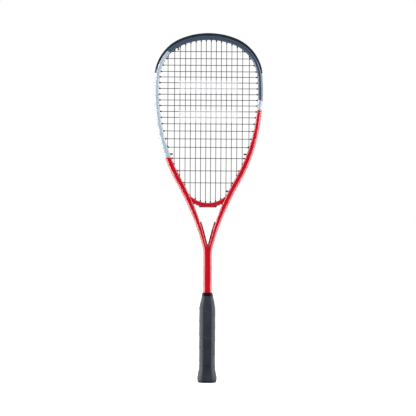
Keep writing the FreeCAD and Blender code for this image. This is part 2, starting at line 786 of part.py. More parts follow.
def solidTube():
    if not shaftSolid:
        body = newBody("shaft_space")
        half = size("shaftHalfWidth")
        low, high = size("shaftEnd"), size("tapeTop") + 20
        corners = [Vector(half, low, 0), Vector(half, high, 0),
                   Vector(-half, high, 0), Vector(-half, low, 0)]
        edges = [Part.LineSegment(corners[i], corners[(i + 1) % 4]) for i in range(4)]
        plain = pad(body, "shaftPad", edges, "Dimensions.frameDepth")
        feature = body.newObject("PartDesign::Fillet", "shaftRounding")
        upright = ["Edge%d" % (i + 1) for i, edge in enumerate(plain.Shape.Edges)
                   if edge.BoundBox.ZLength > 10]
        feature.Base = (plain, upright)
        feature.setExpression("Radius", "Dimensions.tubeRound")
        doc.recompute()
        shaftSolid.append(body)
    return shaftSolid[0]


# Two staples, one in each face of the cap: a crown on the skirt and two legs into the pallet.
def makeStaples():
    wire = size("stapleWire")
    span, leg = size("stapleSpan"), size("stapleLeg")
    stapleHeight = size("stapleHeight")
    surface = stationsBetween(gripStations, stapleHeight, size("capTop"), size("gripThickness"))[0][2] / 2
    staples = []
    for side in (-1, 1):
        crown = box("staple_crown_%d" % side, (-span / 2, 0, stapleHeight - wire / 2),
                    (span / 2, wire, stapleHeight + wire / 2))
        crown.Placement.Base.y = side * surface - (wire if side > 0 else 0)
        legs = []
        for end in (-1, 1):
            x = end * (span - wire) / 2 - wire / 2
            piece = box("staple_leg_%d_%d" % (side, end), (x, 0, stapleHeight - wire / 2),
                        (x + wire, leg, stapleHeight + wire / 2))
            piece.Placement.Base.y = side * surface - (leg if side > 0 else 0)
            legs.append(piece)
        staples.append(fuse("staple_%d" % side, [crown] + legs))
    return compound("butt_cap_staples", staples)


tackMade = []


# The tack that holds the start of the grip tape, through tape and cap near the butt.
def tack():
    if not tackMade:
        height = size("tackHeight")
        surface = stationsBetween(gripStations, height, size("capTop"), 0.0)[0][1] / 2
        headBase = surface - size("tackSink")
        shank = rod("tack_shank", Vector(headBase - size("tackLength"), 0, height), Vector(1, 0, 0),
                    "Dimensions.tackShank / 2", "Dimensions.tackLength + 0.3")
        head = rod("tack_head", Vector(headBase, 0, height), Vector(1, 0, 0),
                   "Dimensions.tackHead / 2", "Dimensions.tackHeadThickness")
        tackMade.append(fuse("grip_tack", [shank, head]))
    return tackMade[0]


def makePlugs():
    wall = size("tubeWall")
    inner = size("shaftHalfWidth") - wall - size("webThickness") / 2
    plugs = []
    for side in (-1, 1):
        centre = side * (size("webThickness") / 2 + inner / 2)
        plugs.append(box("plug_%d" % side, (centre - inner / 2 + 0.4, -6.0, size("shaftEnd") + 1),
                         (centre + inner / 2 - 0.4, 6.0, size("shaftEnd") + 1 + size("plugLength"))))
    return compound("shaft_end_plugs", plugs)


tubeOutside, grooved, frameTube, drilled = makeFrame()
bridge, core = makeBridge(tubeOutside, drilled)
yoke = makeYoke()
leftStrip, rightStrip = makeStrips()
bumper = makeBumper()
bridgeStrip = makeBridgeStrip()
mainString = makeString("main_string", mainRoute())
crossString = makeString("cross_string", crossRoute())
(palletFront, palletBack), buttCap, gripWrap, finishingTape = makeHandle()
plugs = makePlugs()

nodes = [frameTube, bridge, core, yoke, bumper, leftStrip, rightStrip, bridgeStrip, mainString, crossString,
         palletFront, palletBack, buttCap, doc.getObject("butt_cap_staples"), doc.getObject("grip_tack"),
         plugs, gripWrap, finishingTape]

doc.recompute()
for feature in doc.Objects:
    if "Invalid" in feature.State or "Error" in feature.State:
        raise RuntimeError("%s failed: %s" % (feature.Name, feature.State))
for node in nodes:
    if node.Shape.isNull() or not node.Shape.isValid() or not node.Shape.Solids:
        raise RuntimeError("%s has no valid solid" % node.Label)
    print(node.Label, len(node.Shape.Solids), "solids", round(node.Shape.Volume, 1), "mm3")
os.makedirs("parts", exist_ok=True)
for node in nodes:
    node.Shape.exportStep("parts/%s.step" % node.Label)
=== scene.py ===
import math
import bmesh
import bpy
from mathutils import Matrix, Vector


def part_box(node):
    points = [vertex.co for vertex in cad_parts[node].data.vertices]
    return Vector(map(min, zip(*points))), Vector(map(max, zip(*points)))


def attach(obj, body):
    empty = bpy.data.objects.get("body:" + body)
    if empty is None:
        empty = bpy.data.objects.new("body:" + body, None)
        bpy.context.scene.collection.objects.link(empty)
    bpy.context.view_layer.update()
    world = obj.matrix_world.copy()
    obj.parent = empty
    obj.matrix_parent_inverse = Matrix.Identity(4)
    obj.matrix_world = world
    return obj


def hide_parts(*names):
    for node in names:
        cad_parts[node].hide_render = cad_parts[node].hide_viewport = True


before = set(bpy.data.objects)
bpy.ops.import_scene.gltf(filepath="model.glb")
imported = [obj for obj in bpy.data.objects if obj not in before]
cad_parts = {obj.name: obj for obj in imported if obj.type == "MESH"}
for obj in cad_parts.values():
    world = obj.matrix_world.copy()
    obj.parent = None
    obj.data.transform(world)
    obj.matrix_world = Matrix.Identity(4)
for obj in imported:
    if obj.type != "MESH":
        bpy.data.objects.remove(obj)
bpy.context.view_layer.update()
print("frame loaded")

# A squash racket standing on its butt: Z up the shaft, X across the head, strings in the plane Y = 0.
tubeLow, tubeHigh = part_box("frame_tube")
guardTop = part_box("bumper_guard")[1].z
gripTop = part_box("grip_wrap")[1].z
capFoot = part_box("butt_cap")[0].z
headMiddle = Vector((0, 0, 0.5))
weld = 0.00001  # vertices closer than this become one
cornerAngle = 1.0  # radians between two faces that meet in a corner


def linear(hexColour):
    # sRGB hex to the linear colour that shaders use
    parts = [int(hexColour[i:i + 2], 16) / 255 for i in (1, 3, 5)]
    return tuple(c / 12.92 if c <= 0.04045 else ((c + 0.055) / 1.055) ** 2.4 for c in parts) + (1.0,)


def grey(level):
    return (level, level, level, 1.0)


def addNode(tree, kind, links=None, stops=(), **settings):
    # adds a node, sets its fields, sockets and colour stops, and links {input: output socket}
    node = tree.nodes.new(kind)
    for key, value in settings.items():
        if key.startswith("in_"):
            key = key[3:]
            node.inputs[int(key) if key.isdigit() else key.replace("_", " ")].default_value = value
        else:
            setattr(node, key, value)
    for socket, source in (links or {}).items():
        tree.links.new(source, node.inputs[socket])
    if stops:
        elements = node.color_ramp.elements
        while len(elements) < len(stops):
            elements.new(0.5)
        for element, (place, colour) in zip(elements, stops):
            element.position = place
            element.color = colour
    return node


def newMaterial(name, **settings):
    # returns the material, its tree, its shader and the place on the object
    material = bpy.data.materials.new(name)
    material.use_nodes = True
    tree = material.node_tree
    shader = tree.nodes["Principled BSDF"]
    for key, value in settings.items():
        shader.inputs[key.replace("_", " ")].default_value = value
    place = addNode(tree, "ShaderNodeTexCoord").outputs["Object"]
    return material, tree, shader, place


paint = {
    "navy": "#42566e", "silver": "#c6d3e1", "red": "#d80424",
    # where one colour gives way to the next, as a pair for the left and right side of the head: the height,
    # the distance from the centre line there, and the rise of the slanting edge across the tube
    "navyHeights": (0.6495, 0.554), "navyReach": (0.080, 0.103), "navyRise": (0.55, -0.45),
    "redHeights": (0.4415, 0.5355), "redReach": (0.078, 0.101), "redRise": (0.0, 0.05),
    "blur": 0.0006,
}


def lacquerPaint():
    # sprayed lacquer under a clear coat: deep colour, hard gloss, a very fine flake
    material, tree, shader, place = newMaterial("sprayedLacquer", Roughness=0.32, IOR=1.5, Coat_Weight=1.0,
                                                Coat_Roughness=0.04, Coat_IOR=1.55)
    split = addNode(tree, "ShaderNodeSeparateXYZ", {0: place})
    side = addNode(tree, "ShaderNodeMath", {0: split.outputs["X"]}, operation="GREATER_THAN", in_1=0.0)
    across = addNode(tree, "ShaderNodeMath", {0: split.outputs["X"]}, operation="ABSOLUTE")

    def above(edge):
        # 1 above the slanting edge, which differs between the two sides of the head
        rises = paint[edge + "Rise"]
        starts = [height - reach * rise for height, reach, rise
                  in zip(paint[edge + "Heights"], paint[edge + "Reach"], rises)]
        start = addNode(tree, "ShaderNodeMix", {"Factor": side.outputs[0]}, data_type="FLOAT",
                        in_2=starts[0], in_3=starts[1])
        slope = addNode(tree, "ShaderNodeMix", {"Factor": side.outputs[0]}, data_type="FLOAT",
                        in_2=rises[0], in_3=rises[1])
        risen = addNode(tree, "ShaderNodeMath", {0: across.outputs[0], 1: slope.outputs[0]},
                        operation="MULTIPLY")
        shifted = addNode(tree, "ShaderNodeMath", {0: split.outputs["Z"], 1: risen.outputs[0]},
                          operation="SUBTRACT")
        over = addNode(tree, "ShaderNodeMath", {0: shifted.outputs[0], 1: start.outputs[0]},
                       operation="SUBTRACT")
        return addNode(tree, "ShaderNodeMapRange", {"Value": over.outputs[0]}, in_From_Min=-paint["blur"],
                       in_From_Max=paint["blur"]).outputs[0]

    flake = addNode(tree, "ShaderNodeTexNoise", {"Vector": place}, in_Scale=2600.0, in_Detail=1.0)
    cloud = addNode(tree, "ShaderNodeTexNoise", {"Vector": place}, in_Scale=9.0, in_Detail=3.0)

    def tone(hexColour, spread):
        # the flake lifts and lowers the colour a little
        base = linear(hexColour)
        low = tuple(c * (1 - spread) for c in base[:3]) + (1.0,)
        high = tuple(min(1.0, c * (1 + spread)) for c in base[:3]) + (1.0,)
        return addNode(tree, "ShaderNodeValToRGB", {"Fac": flake.outputs["Fac"]},
                       [(0.35, low), (0.65, high)]).outputs["Color"]

    lower = addNode(tree, "ShaderNodeMix", {"Factor": above("red"), 6: tone(paint["red"], 0.06),
                                            7: tone(paint["silver"], 0.07)}, data_type="RGBA")
    whole = addNode(tree, "ShaderNodeMix", {"Factor": above("navy"), 6: lower.outputs[2],
                                            7: tone(paint["navy"], 0.12)}, data_type="RGBA")
    tree.links.new(whole.outputs[2], shader.inputs["Base Color"])
    rough = addNode(tree, "ShaderNodeMapRange", {"Value": cloud.outputs["Fac"]}, in_From_Min=0.3,
                    in_From_Max=0.7, in_To_Min=0.24, in_To_Max=0.36)
    tree.links.new(rough.outputs[0], shader.inputs["Roughness"])
    # a trace of orange peel in the clear coat
    peel = addNode(tree, "ShaderNodeTexNoise", {"Vector": place}, in_Scale=420.0, in_Detail=2.0)
    bump = addNode(tree, "ShaderNodeBump", {"Height": peel.outputs["Fac"]}, in_Strength=0.03,
                   in_Distance=0.0002)
    tree.links.new(bump.outputs[0], shader.inputs["Coat Normal"])
    return material


def shadedThroatLacquer():
    # the same red lacquer, duller, and darker as painted shade for the throat yoke, which sits recessed
    # inside the throat
    material, tree, shader, place = newMaterial("throatLacquerPaintedShade", Roughness=0.45, Coat_Weight=0.2,
                                                Coat_Roughness=0.15, Specular_IOR_Level=0.3)
    mottle = addNode(tree, "ShaderNodeTexNoise", {"Vector": place}, in_Scale=180.0, in_Detail=3.0)
    # the darker reds are painted shade for the recessed yoke; the mottle varies them at random
    colours = addNode(tree, "ShaderNodeValToRGB", {"Fac": mottle.outputs["Fac"]},
                      [(0.3, linear("#a0051a")), (0.7, linear("#b8061c"))])
    tree.links.new(colours.outputs["Color"], shader.inputs["Base Color"])
    return material


def mouldedNylon(name, low, high, roughness):
    # injection moulded nylon: satin, with a fine spark-eroded grain about 0.5 mm across
    material, tree, shader, place = newMaterial(name, IOR=1.53, Roughness=roughness)
    grain = addNode(tree, "ShaderNodeTexNoise", {"Vector": place}, in_Scale=2000.0, in_Detail=2.0)
    scuff = addNode(tree, "ShaderNodeTexNoise", {"Vector": place}, in_Scale=60.0, in_Detail=4.0)
    colours = addNode(tree, "ShaderNodeValToRGB", {"Fac": scuff.outputs["Fac"]},
                      [(0.35, linear(low)), (0.7, linear(high))])
    tree.links.new(colours.outputs["Color"], shader.inputs["Base Color"])
    rough = addNode(tree, "ShaderNodeMapRange", {"Value": scuff.outputs["Fac"]}, in_From_Min=0.3,
                    in_From_Max=0.75, in_To_Min=roughness - 0.06, in_To_Max=roughness + 0.08)
    tree.links.new(rough.outputs[0], shader.inputs["Roughness"])
    bump = addNode(tree, "ShaderNodeBump", {"Height": grain.outputs["Fac"]}, in_Strength=0.12,
                   in_Distance=0.0001)
    tree.links.new(bump.outputs[0], shader.inputs["Normal"])
    return material


stencil = {"ink": "#cdd1da", "centre": 0.552, "gap": 0.058, "bar": 0.024, "halfLength": 0.058,
           "ragged": 0.0015}


def coatedString():
    # multifilament string: black, slick coat, fine twist; two plain white ink bars are stencilled on it
    material, tree, shader, place = newMaterial("coatedMultifilament", Roughness=0.6, IOR=1.45,
                                                Specular_IOR_Level=0.3)
    split = addNode(tree, "ShaderNodeSeparateXYZ", {0: place})
    across = addNode(tree, "ShaderNodeMath", {0: split.outputs["X"]}, operation="ABSOLUTE")
    fromCentre = addNode(tree, "ShaderNodeMath", {0: split.outputs["Z"]}, operation="SUBTRACT",
                         in_1=stencil["centre"])
    height = addNode(tree, "ShaderNodeMath", {0: fromCentre.outputs[0]}, operation="ABSOLUTE")
    fromBar = addNode(tree, "ShaderNodeMath", {0: height.outputs[0]}, operation="SUBTRACT",
                      in_1=stencil["gap"] / 2)
    offBar = addNode(tree, "ShaderNodeMath", {0: fromBar.outputs[0]}, operation="ABSOLUTE")
    wobble = addNode(tree, "ShaderNodeTexNoise", {"Vector": place}, in_Scale=500.0, in_Detail=2.0)
    ragged = addNode(tree, "ShaderNodeMapRange", {"Value": wobble.outputs["Fac"]},
                     in_To_Min=-stencil["ragged"], in_To_Max=stencil["ragged"])
    reach = addNode(tree, "ShaderNodeMath", {0: ragged.outputs[0]}, operation="ADD", in_1=stencil["bar"] / 2)
    inBar = addNode(tree, "ShaderNodeMath", {0: offBar.outputs[0], 1: reach.outputs[0]},
                    operation="LESS_THAN")
    inLength = addNode(tree, "ShaderNodeMath", {0: across.outputs[0]}, operation="LESS_THAN",
                       in_1=stencil["halfLength"])
    inArea = addNode(tree, "ShaderNodeMath", {0: inBar.outputs[0], 1: inLength.outputs[0]},
                     operation="MULTIPLY")
    # the ink lies on the front and back of the strings only, and is worn in places
    normal = addNode(tree, "ShaderNodeNewGeometry").outputs["Normal"]
    facing = addNode(tree, "ShaderNodeSeparateXYZ", {0: normal})
    flat = addNode(tree, "ShaderNodeMath", {0: facing.outputs["Y"]}, operation="ABSOLUTE")
    onFace = addNode(tree, "ShaderNodeMapRange", {"Value": flat.outputs[0]}, in_From_Min=0.45,
                     in_From_Max=0.75)
    worn = addNode(tree, "ShaderNodeMapRange", {"Value": wobble.outputs["Fac"]}, in_From_Min=0.30,
                   in_From_Max=0.45, in_To_Min=0.35)
    coat = addNode(tree, "ShaderNodeMath", {0: onFace.outputs[0], 1: worn.outputs[0]}, operation="MULTIPLY")
    inked = addNode(tree, "ShaderNodeMath", {0: inArea.outputs[0], 1: coat.outputs[0]}, operation="MULTIPLY")
    twist = addNode(tree, "ShaderNodeTexWave", {"Vector": place}, in_Scale=500.0, in_Distortion=1.5,
                    bands_direction="DIAGONAL")
    black = addNode(tree, "ShaderNodeValToRGB", {"Fac": twist.outputs["Fac"]},
                    [(0.2, linear("#060607")), (0.9, linear("#141517"))])
    whole = addNode(tree, "ShaderNodeMix", {"Factor": inked.outputs[0], 6: black.outputs["Color"]},
                    data_type="RGBA", in_7=linear(stencil["ink"]))
    tree.links.new(whole.outputs[2], shader.inputs["Base Color"])
    bump = addNode(tree, "ShaderNodeBump", {"Height": twist.outputs["Fac"]}, in_Strength=0.15,
                   in_Distance=0.00005)
    tree.links.new(bump.outputs[0], shader.inputs["Normal"])
    return material


def gripPolyurethane():
    # cushioned polyurethane tape: matte, slightly tacky skin with a fine pebble and rows of pin holes
    material, tree, shader, place = newMaterial("perforatedPolyurethane", IOR=1.5, Roughness=0.5,
                                                Sheen_Weight=0.25, Sheen_Roughness=0.45)
    lay = addNode(tree, "ShaderNodeAttribute", attribute_name="wrap")
    pebble = addNode(tree, "ShaderNodeTexVoronoi", {"Vector": place}, in_Scale=900.0)
    smudge = addNode(tree, "ShaderNodeTexNoise", {"Vector": place}, in_Scale=38.0, in_Detail=5.0)
    colours = addNode(tree, "ShaderNodeValToRGB", {"Fac": smudge.outputs["Fac"]},
                      [(0.3, linear("#1a1f2c")), (0.7, linear("#2a2f3f"))])
    # pin holes on a slanted grid, about 3.4 mm apart, laid out along the tape, painted near black as painted
    # shade inside them
    grid = addNode(tree, "ShaderNodeVectorMath", {0: lay.outputs["Vector"]}, operation="FRACTION")
    offset = addNode(tree, "ShaderNodeVectorMath", {0: grid.outputs[0]}, operation="SUBTRACT",
                     in_1=(0.5, 0.5, 0.0))
    distance = addNode(tree, "ShaderNodeVectorMath", {0: offset.outputs[0]}, operation="LENGTH")
    hole = addNode(tree, "ShaderNodeMapRange", {"Value": distance.outputs["Value"]}, in_From_Min=0.1,
                   in_From_Max=0.17)
    shadedPinHoles = addNode(tree, "ShaderNodeMix", {"Factor": hole.outputs[0], 7: colours.outputs["Color"]},
                   data_type="RGBA", in_6=linear("#0a0b0e"))
    # painted shade and painted highlight: each turn is darkened in the crease where it laps the next, and
    # brightened along the raised lip beside it
    turn = addNode(tree, "ShaderNodeAttribute", attribute_name="seam").outputs["Fac"]
    seamShadeAndHighlight = addNode(tree, "ShaderNodeValToRGB", {"Fac": turn},
                       [(0.0, grey(0.30)), (0.035, grey(0.45)), (0.06, grey(1.9)), (0.13, grey(1.0)),
                        (0.97, grey(1.0)), (1.0, grey(0.30))])
    toned = addNode(tree, "ShaderNodeMix", {6: shadedPinHoles.outputs[2], 7: seamShadeAndHighlight.outputs["Color"]},
                    data_type="RGBA", blend_type="MULTIPLY", in_Factor=1.0)
    tree.links.new(toned.outputs[2], shader.inputs["Base Color"])
    rough = addNode(tree, "ShaderNodeMapRange", {"Value": smudge.outputs["Fac"]}, in_From_Min=0.3,
                    in_From_Max=0.7, in_To_Min=0.42, in_To_Max=0.58)
    tree.links.new(rough.outputs[0], shader.inputs["Roughness"])
    skin = addNode(tree, "ShaderNodeBump", {"Height": pebble.outputs["Distance"]}, in_Strength=0.25,
                   in_Distance=0.0003)
    pits = addNode(tree, "ShaderNodeBump", {"Height": hole.outputs[0], "Normal": skin.outputs[0]},
                   in_Strength=0.6, in_Distance=0.0004)
    tree.links.new(pits.outputs[0], shader.inputs["Normal"])
    return material


def vinylTape():
    # stretched vinyl tape: black, glossy, with faint stretch ripples
    material, tree, shader, place = newMaterial("glossyVinyl", Roughness=0.2, IOR=1.53, Coat_Weight=0.5,
                                                Coat_Roughness=0.1)
    ripple = addNode(tree, "ShaderNodeTexNoise", {"Vector": place}, in_Scale=300.0, in_Detail=3.0)
    colours = addNode(tree, "ShaderNodeValToRGB", {"Fac": ripple.outputs["Fac"]},
                      [(0.3, linear("#0b0b0d")), (0.7, linear("#17181b"))])
    tree.links.new(colours.outputs["Color"], shader.inputs["Base Color"])
    bump = addNode(tree, "ShaderNodeBump", {"Height": ripple.outputs["Fac"]}, in_Strength=0.2,
                   in_Distance=0.0002)
    tree.links.new(bump.outputs[0], shader.inputs["Normal"])
    return material


def cellFoam(name, low, high, cells):
    # rigid moulded foam: matte, with the open cells of a cut face, painted darker towards the middle of each
    # cell as painted shade inside it
    material, tree, shader, place = newMaterial(name, Roughness=0.85)
    pores = addNode(tree, "ShaderNodeTexVoronoi", {"Vector": place}, in_Scale=cells)
    colours = addNode(tree, "ShaderNodeValToRGB", {"Fac": pores.outputs["Distance"]},
                      [(0.1, linear(low)), (0.6, linear(high))])
    tree.links.new(colours.outputs["Color"], shader.inputs["Base Color"])
    bump = addNode(tree, "ShaderNodeBump", {"Height": pores.outputs["Distance"]}, in_Strength=0.4,
                   in_Distance=0.0003)
    tree.links.new(bump.outputs[0], shader.inputs["Normal"])
    return material


def drawnSteel():
    # bright drawn wire: metal, with faint draw lines
    material, tree, shader, place = newMaterial("drawnSteelWire", Metallic=1.0, Roughness=0.28)
    lines = addNode(tree, "ShaderNodeTexNoise", {"Vector": place}, in_Scale=900.0, in_Detail=2.0)
    colours = addNode(tree, "ShaderNodeValToRGB", {"Fac": lines.outputs["Fac"]},
                      [(0.3, linear("#9a9da1")), (0.7, linear("#c2c5c8"))])
    tree.links.new(colours.outputs["Color"], shader.inputs["Base Color"])
    return material


lacquer = lacquerPaint()
throatShadedRed = shadedThroatLacquer()
guardNylon = mouldedNylon("navyNylon", "#101c2a", "#182738", 0.48)
grommetNylon = mouldedNylon("blackNylon", "#08090a", "#141517", 0.38)
capPlastic = mouldedNylon("blackAbs", "#090a0c", "#15161a", 0.45)
stringCoat = coatedString()
gripSkin = gripPolyurethane()
vinyl = vinylTape()
coreFoam = cellFoam("rigidFoam", "#b9b29c", "#d8d2c0", 1400.0)
palletFoam = cellFoam("mouldedHardFoam", "#6d6553", "#8f8670", 1100.0)
steelWire = drawnSteel()
print("materials made")

# CAD nodes that keep their shape and take a material
finishes = {
    "bumper_guard": guardNylon,
    "side_grommet_strip_left": grommetNylon,
    "side_grommet_strip_right": grommetNylon,
    "bridge_grommet_strip": grommetNylon,
    "main_string": stringCoat,
    "cross_string": stringCoat,
    "bridge_foam_core": coreFoam,
    "shaft_end_plugs": coreFoam,
    "pallet_half_front": palletFoam,
    "pallet_half_back": palletFoam,
    "butt_cap_staples": steelWire,
    "grip_tack": steelWire,
    "butt_cap": capPlastic,
    "finishing_tape": vinyl,
    "throat_yoke": throatShadedRed,
}
for name, material in finishes.items():
    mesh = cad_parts[name].data
    mesh.materials.clear()
    mesh.materials.append(material)
print("frame nodes finished")


def makePiece(name, bm, material, sharpDegrees=40):
    # edges sharper than sharpDegrees stay sharp; with None the whole piece is smooth
    bmesh.ops.remove_doubles(bm, verts=bm.verts, dist=weld)
    bmesh.ops.recalc_face_normals(bm, faces=bm.faces)
    mesh = bpy.data.meshes.new(name)
    bm.to_mesh(mesh)
    bm.free()
    for polygon in mesh.polygons:
        polygon.use_smooth = True
    mesh.materials.append(material)
    piece = bpy.data.objects.new(name, mesh)
    bpy.context.scene.collection.objects.link(piece)
    if sharpDegrees:
        mesh.set_sharp_from_angle(angle=math.radians(sharpDegrees))
        modifier = piece.modifiers.new("normals", "WEIGHTED_NORMAL")
        modifier.keep_sharp = True
    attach(piece, "root")
    return piece


def vertsIn(geom):
    return [item for item in geom if isinstance(item, bmesh.types.BMVert)]


def inward(heading):
    # the heading is measured clockwise from +X, and this is its right-hand side
    return Vector((-math.sin(heading), 0, -math.cos(heading)))


def growRung(bm, edge, outer, inner):
    # extrudes the last rung of a ladder of faces, and returns the new rung with its outer and inner end
    grown = bmesh.ops.extrude_edge_only(bm, edges=[edge])["geom"]
    rung = [item for item in grown if isinstance(item, bmesh.types.BMEdge)
            and not (set(item.verts) & {outer, inner})][0]
    ends = sorted(rung.verts, key=lambda vert: (vert.co - outer.co).length)
    return rung, ends[0], ends[1]


def turnVert(bm, vert, centre, angle):
    bmesh.ops.rotate(bm, verts=[vert], cent=centre, matrix=Matrix.Rotation(angle, 3, "Y"))


def mirrorHalf(bm):
    bmesh.ops.mirror(bm, geom=bm.verts[:] + bm.edges[:] + bm.faces[:], axis="X", merge_dist=weld)
    bmesh.ops.remove_doubles(bm, verts=bm.verts, dist=weld)
    bmesh.ops.recalc_face_normals(bm, faces=bm.faces)


def thicken(bm, depth):
    # a flat sheet in the plane Y = 0 becomes a slab around it
    bmesh.ops.translate(bm, verts=bm.verts, vec=(0, -depth / 2, 0))
    grown = bmesh.ops.extrude_face_region(bm, geom=bm.faces[:])["geom"]
    bmesh.ops.translate(bm, verts=vertsIn(grown), vec=(0, depth, 0))
    bmesh.ops.recalc_face_normals(bm, faces=bm.faces)


def bevelEdges(bm, edges, radius, steps):
    bmesh.ops.bevel(bm, geom=edges, offset=radius, offset_type="OFFSET", segments=steps, profile=0.5,
                    affect="EDGES", material=-1)


def roundRims(bm, depth, radius, steps, keep=None):
    # rounds the slab's corners along its front and back, or those that keep(edge) chooses
    rims = []
    for edge in bm.edges:
        flat = all(abs(abs(vert.co.y) - depth / 2) < 1e-6 for vert in edge.verts)
        corner = len(edge.link_faces) == 2 and edge.calc_face_angle() > cornerAngle
        if flat and corner and (keep is None or keep(edge)):
            rims.append(edge)
    bevelEdges(bm, rims, radius, steps)


def sinkChannel(bm, wallFaces, half, depth):
    # cuts a channel round the wall that wallFaces() lists, and returns the faces of its floor
    for side in (-1, 1):
        walls = wallFaces()
        edges = list({edge for face in walls for edge in face.edges})
        verts = list({vert for face in walls for vert in face.verts})
        bmesh.ops.bisect_plane(bm, geom=walls + edges + verts, plane_co=(0, side * half, 0),
                               plane_no=(0, 1, 0))
    floor = [face for face in wallFaces() if abs(face.calc_center_median().y) < half]
    bmesh.ops.inset_region(bm, faces=floor, thickness=weld, depth=-depth, use_even_offset=True,
                           use_boundary=True)
    return floor


hoop = {
    # each turn of the outer side: radius, degrees, steps
    "turns": [(0.1428, 21.5, 12), (0.0845, 63.5, 26), (0.3580, 34.5, 20)],
    "lower": (0.4920, 16.1, 14),  # the arms turn the other way
    "innerLower": 0.4700,  # radius of the arms' inner side
    "crotch": 0.0030, "bendSteps": 12,
    "shaftHalf": 0.0087, "shaftRings": (0.23, 0.16, 0.08),
    "tube": 0.0095, "outerRounding": 0.0054, "innerRounding": 0.0027, "roundingSteps": 7,
    "grooveHalf": 0.0027, "grooveDepth": 0.0022, "grooveEnd": 0.338,
    "headFrom": 0.45,  # above this height the outer side faces away from the middle of the head
    "swell": 0.0030, "swellLow": 0.25, "swellHigh": 0.54,
}


def hoopArcs():
    # each step: (outer centre, outer angle, inner centre, inner angle, steps)
    arcs = []
    heading = 0.0
    outer = Vector((0, 0, tubeHigh.z))
    inner = outer - Vector((0, 0, hoop["tube"]))
    for radius, degrees, steps in hoop["turns"]:
        centre = outer + inward(heading) * radius
        arcs.append((centre, math.radians(degrees), centre, math.radians(degrees), steps))
        heading += math.radians(degrees)
        outer = centre - inward(heading) * radius
        inner = centre - inward(heading) * (radius - hoop["tube"])
    radius, degrees, steps = hoop["lower"]
    centre = outer - inward(heading) * radius
    innerCentre = inner - inward(heading) * hoop["innerLower"]
    last = math.pi - math.asin(innerCentre.x / (hoop["innerLower"] + hoop["crotch"]))
    arcs.append((centre, -math.radians(degrees), innerCentre, last - heading, steps))
    heading -= math.radians(degrees)
    outer = centre + inward(heading) * radius
    rest = heading - math.pi / 2
    bend = (outer.x - hoop["shaftHalf"]) / (1 - math.cos(rest))
    crotchCentre = innerCentre + inward(last) * (hoop["innerLower"] + hoop["crotch"])
    arcs.append((outer - inward(heading) * bend, -rest, crotchCentre, math.pi - last, hoop["bendSteps"]))
    return arcs


def swellAt(height):
    # the arms are fuller on their outer side than the crown and the shaft
    share = (height - hoop["swellLow"]) / (hoop["swellHigh"] - hoop["swellLow"])
    return hoop["swell"] * math.sin(math.pi * min(max(share, 0.0), 1.0)) ** 2


def halfLadder(bm):
    # a strip of faces between the outer and inner outline of the right half, then on down the shaft
    outer = bm.verts.new((0, 0, tubeHigh.z))
    inner = bm.verts.new((0, 0, tubeHigh.z - hoop["tube"]))
    edge = bm.edges.new((outer, inner))
    outers = []
    for outerCentre, outerAngle, innerCentre, innerAngle, steps in hoopArcs():
        for step in range(steps):
            edge, outer, inner = growRung(bm, edge, outer, inner)
            turnVert(bm, outer, outerCentre, outerAngle / steps)
            turnVert(bm, inner, innerCentre, innerAngle / steps)
            outers.append(outer)
    for height in hoop["shaftRings"] + (tubeLow.z,):
        edge, outer, inner = growRung(bm, edge, outer, inner)
        outer.co = Vector((hoop["shaftHalf"], 0, height))
        inner.co = Vector((0, 0, height))
    for vert in outers:
        vert.co.x += swellAt(vert.co.z)


def facesOut(face):
    # true on the outer side of the hoop, arms and shaft
    middle = face.calc_center_median()
    if middle.z > hoop["headFrom"]:
        return face.normal.dot(middle - headMiddle) > 0
    return face.normal.x * middle.x > 0


def makeFrameTube():
    bm = bmesh.new()
    halfLadder(bm)
    mirrorHalf(bm)
    depth = tubeHigh.y - tubeLow.y
    thicken(bm, depth)
    for outside, radius in ((True, hoop["outerRounding"]), (False, hoop["innerRounding"])):
        def chosen(edge):
            wall = [face for face in edge.link_faces if abs(face.normal.y) < 0.5]
            high = max(vert.co.z for vert in edge.verts) > tubeLow.z + 0.001
            return high and bool(wall) and facesOut(wall[0]) == outside
        roundRims(bm, depth, radius, hoop["roundingSteps"], chosen)

    def outerWall():
        # the flat outer side of the hoop and upper arms, without the crotch
        found = []
        for face in bm.faces:
            middle = face.calc_center_median()
            crotch = abs(middle.x) < 0.0001 and middle.z < headMiddle.z
            outwards = face.normal.dot(middle - headMiddle) > 0
            if abs(face.normal.y) < 0.01 and middle.z > hoop["grooveEnd"] and outwards and not crotch:
                found.append(face)
        return found

    floor = sinkChannel(bm, outerWall, hoop["grooveHalf"], hoop["grooveDepth"])
    for vert in {vert for face in floor for vert in face.verts}:
        # the groove is deeper where the arms are fuller, down to the strip that lies in it
        vert.co.x -= math.copysign(swellAt(vert.co.z), vert.co.x)
    piece = makePiece("lacqueredTube", bm, lacquer)
    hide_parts("frame_tube")
    return piece


makeFrameTube()

guard = {
    "grow": 0.0009, "lift": 0.0022,  # how far it stands out all round, and more at the crown
    "inside": 0.0027, "depth": 0.0184, "rounding": 0.0011, "roundingSteps": 4,
    "end": 0.608, "endShare": 0.15, "taper": 0.10,  # its ends: height, share of thickness, radians of taper
    "channelHalf": 0.0018, "channelDepth": 0.0019, "steps": 34,
}


